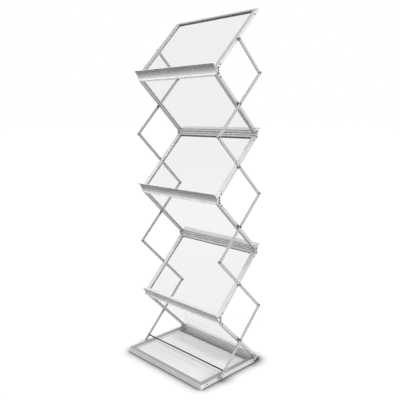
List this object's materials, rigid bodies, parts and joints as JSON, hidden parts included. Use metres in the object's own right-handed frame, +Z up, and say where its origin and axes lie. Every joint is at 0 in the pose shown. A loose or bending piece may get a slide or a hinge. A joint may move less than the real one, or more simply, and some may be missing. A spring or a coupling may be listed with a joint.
{
  "type": "folding brochure stand",
  "caption": "Folding zigzag brochure stand: clear framed panels on scissor arms, joined by upright links with full-width lips, on a flat framed base.",
  "frame": {"origin": "middle of the bounding box, on the floor under the base", "axes": "+X across the stand, +Y from the front towards the back, +Z up; the front lips face -Y"},
  "size_m": [0.4916, 0.355, 1.4421],
  "materials": {
    "aluminium": "satin anodised",
    "lip_aluminium": "satin anodised extrusion",
    "arm_aluminium": "satin anodised flat bar",
    "clear_acrylic": "clear polished",
    "black_nylon": "moulded",
    "rivet_steel": "turned",
    "rod_steel": "black coated",
    "tray_sheet": "light satin",
    "catch_plate": "satin"
  },
  "bodies": {
    "base": {"base_front_rail": "aluminium", "base_side_rails": "aluminium", "base_rear_rail": "aluminium", "base_tray": "tray_sheet", "arm_catches": "catch_plate"},
    "hinge_a": {"hinge_a_plates": "aluminium", "hinge_a_lip": "lip_aluminium"},
    "hinge_b": {"hinge_b_plates": "aluminium", "hinge_b_lip": "lip_aluminium"},
    "hinge_c": {"hinge_c_plates": "aluminium", "hinge_c_lip": "lip_aluminium"},
    "hinge_d": {"hinge_d_plates": "aluminium", "hinge_d_lip": "lip_aluminium"},
    "hinge_e": {"hinge_e_plates": "aluminium", "hinge_e_lip": "lip_aluminium"},
    "panel_6": {"panel_6_side_rails": "aluminium", "panel_6_top_rail": "aluminium", "panel_6_bottom_rail": "aluminium", "panel_6_sheet": "clear_acrylic", "panel_6_arm_pivots": "black_nylon", "rear_bracket_plates": "aluminium", "rear_bracket_lip": "lip_aluminium"},
    "panel_5": {"panel_5_side_rails": "aluminium", "panel_5_top_rail": "aluminium", "panel_5_bottom_rail": "aluminium", "panel_5_sheet": "clear_acrylic", "panel_5_arm_pivots": "black_nylon"},
    "panel_4": {"panel_4_side_rails": "aluminium", "panel_4_top_rail": "aluminium", "panel_4_bottom_rail": "aluminium", "panel_4_sheet": "clear_acrylic", "panel_4_arm_pivots": "black_nylon"},
    "panel_3": {"panel_3_side_rails": "aluminium", "panel_3_top_rail": "aluminium", "panel_3_bottom_rail": "aluminium", "panel_3_sheet": "clear_acrylic", "panel_3_arm_pivots": "black_nylon"},
    "panel_2": {"panel_2_side_rails": "aluminium", "panel_2_top_rail": "aluminium", "panel_2_bottom_rail": "aluminium", "panel_2_sheet": "clear_acrylic", "panel_2_arm_pivots": "black_nylon"},
    "panel_1": {"panel_1_side_rails": "aluminium", "panel_1_top_rail": "aluminium", "panel_1_bottom_rail": "aluminium", "panel_1_sheet": "clear_acrylic", "panel_1_arm_pivots": "black_nylon"},
    "arms_1": {"arms_1": "arm_aluminium"},
    "arms_2": {"arms_2": "arm_aluminium", "arms_2_rivets": "rivet_steel"},
    "arms_3": {"arms_3": "arm_aluminium"},
    "arms_4": {"arms_4": "arm_aluminium", "arms_4_rivets": "rivet_steel"},
    "arms_5": {"arms_5": "arm_aluminium"},
    "arms_6": {"arms_6": "arm_aluminium", "arms_6_rivets": "rivet_steel", "cross_rod": "rod_steel"}
  },
  "joints": [
    {"name": "fold", "type": "hinge", "parent": "base", "child": "panel_6", "pos_m": [0, 0.13552, 0.009], "axis": [1, 0, 0], "range_deg": [0, 43.4]},
    {"name": "arms_6_turn", "type": "hinge", "parent": "panel_6", "child": "arms_6", "pos_m": [0, 0.03904, 0.13454], "axis": [1, 0, 0], "range_deg": [-83.72, 0]},
    {"name": "arms_5_turn", "type": "hinge", "parent": "arms_6", "child": "arms_5", "pos_m": [0, 0.15512, 0.25313], "axis": [1, 0, 0], "range_deg": [0, 80.64]},
    {"name": "arms_4_turn", "type": "hinge", "parent": "arms_5", "child": "arms_4", "pos_m": [0, -0.07704, 0.4903], "axis": [1, 0, 0], "range_deg": [-80.64, 0]},
    {"name": "arms_3_turn", "type": "hinge", "parent": "arms_4", "child": "arms_3", "pos_m": [0, 0.15512, 0.72747], "axis": [1, 0, 0], "range_deg": [0, 80.64]},
    {"name": "arms_2_turn", "type": "hinge", "parent": "arms_3", "child": "arms_2", "pos_m": [0, -0.07704, 0.96463], "axis": [1, 0, 0], "range_deg": [-80.64, 0]},
    {"name": "arms_1_turn", "type": "hinge", "parent": "arms_2", "child": "arms_1", "pos_m": [0, 0.15512, 1.2018], "axis": [1, 0, 0], "range_deg": [0, 80.64]},
    {"name": "panel_5_tilt", "type": "hinge", "parent": "arms_5", "child": "panel_5", "pos_m": [0, 0.03904, 0.37171], "axis": [1, 0, 0], "range_deg": [-83.72, 0]},
    {"name": "panel_4_tilt", "type": "hinge", "parent": "arms_4", "child": "panel_4", "pos_m": [0, 0.03904, 0.60888], "axis": [1, 0, 0], "range_deg": [0, 83.72]},
    {"name": "panel_3_tilt", "type": "hinge", "parent": "arms_3", "child": "panel_3", "pos_m": [0, 0.03904, 0.84605], "axis": [1, 0, 0], "range_deg": [-83.72, 0]},
    {"name": "panel_2_tilt", "type": "hinge", "parent": "arms_2", "child": "panel_2", "pos_m": [0, 0.03904, 1.08322], "axis": [1, 0, 0], "range_deg": [0, 83.72]},
    {"name": "panel_1_tilt", "type": "hinge", "parent": "arms_1", "child": "panel_1", "pos_m": [0, 0.03904, 1.32038], "axis": [1, 0, 0], "range_deg": [-83.72, 0]},
    {"name": "link_a_turn", "type": "hinge", "parent": "panel_6", "child": "hinge_a", "pos_m": [0, -0.06804, 0.24313], "axis": [1, 0, 0], "range_deg": [-43.4, 0]},
    {"name": "link_b_turn", "type": "hinge", "parent": "panel_5", "child": "hinge_b", "pos_m": [0, 0.14612, 0.4803], "axis": [1, 0, 0], "range_deg": [0, 43.4]},
    {"name": "link_c_turn", "type": "hinge", "parent": "panel_4", "child": "hinge_c", "pos_m": [0, -0.06804, 0.71747], "axis": [1, 0, 0], "range_deg": [-43.4, 0]},
    {"name": "link_d_turn", "type": "hinge", "parent": "panel_3", "child": "hinge_d", "pos_m": [0, 0.14612, 0.95463], "axis": [1, 0, 0], "range_deg": [0, 43.4]},
    {"name": "link_e_turn", "type": "hinge", "parent": "panel_2", "child": "hinge_e", "pos_m": [0, -0.06804, 1.1918], "axis": [1, 0, 0], "range_deg": [-43.4, 0]}
  ],
  "couplings": [
    {"joint": "arms_6_turn", "follows": "fold", "ratio": -1.929},
    {"joint": "arms_5_turn", "follows": "fold", "ratio": 1.858},
    {"joint": "arms_4_turn", "follows": "fold", "ratio": -1.858},
    {"joint": "arms_3_turn", "follows": "fold", "ratio": 1.858},
    {"joint": "arms_2_turn", "follows": "fold", "ratio": -1.858},
    {"joint": "arms_1_turn", "follows": "fold", "ratio": 1.858},
    {"joint": "panel_5_tilt", "follows": "fold", "ratio": -1.929},
    {"joint": "panel_4_tilt", "follows": "fold", "ratio": 1.929},
    {"joint": "panel_3_tilt", "follows": "fold", "ratio": -1.929},
    {"joint": "panel_2_tilt", "follows": "fold", "ratio": 1.929},
    {"joint": "panel_1_tilt", "follows": "fold", "ratio": -1.929},
    {"joint": "link_a_turn", "follows": "fold", "ratio": -1},
    {"joint": "link_b_turn", "follows": "fold", "ratio": 1},
    {"joint": "link_c_turn", "follows": "fold", "ratio": -1},
    {"joint": "link_d_turn", "follows": "fold", "ratio": 1},
    {"joint": "link_e_turn", "follows": "fold", "ratio": -1}
  ]
}
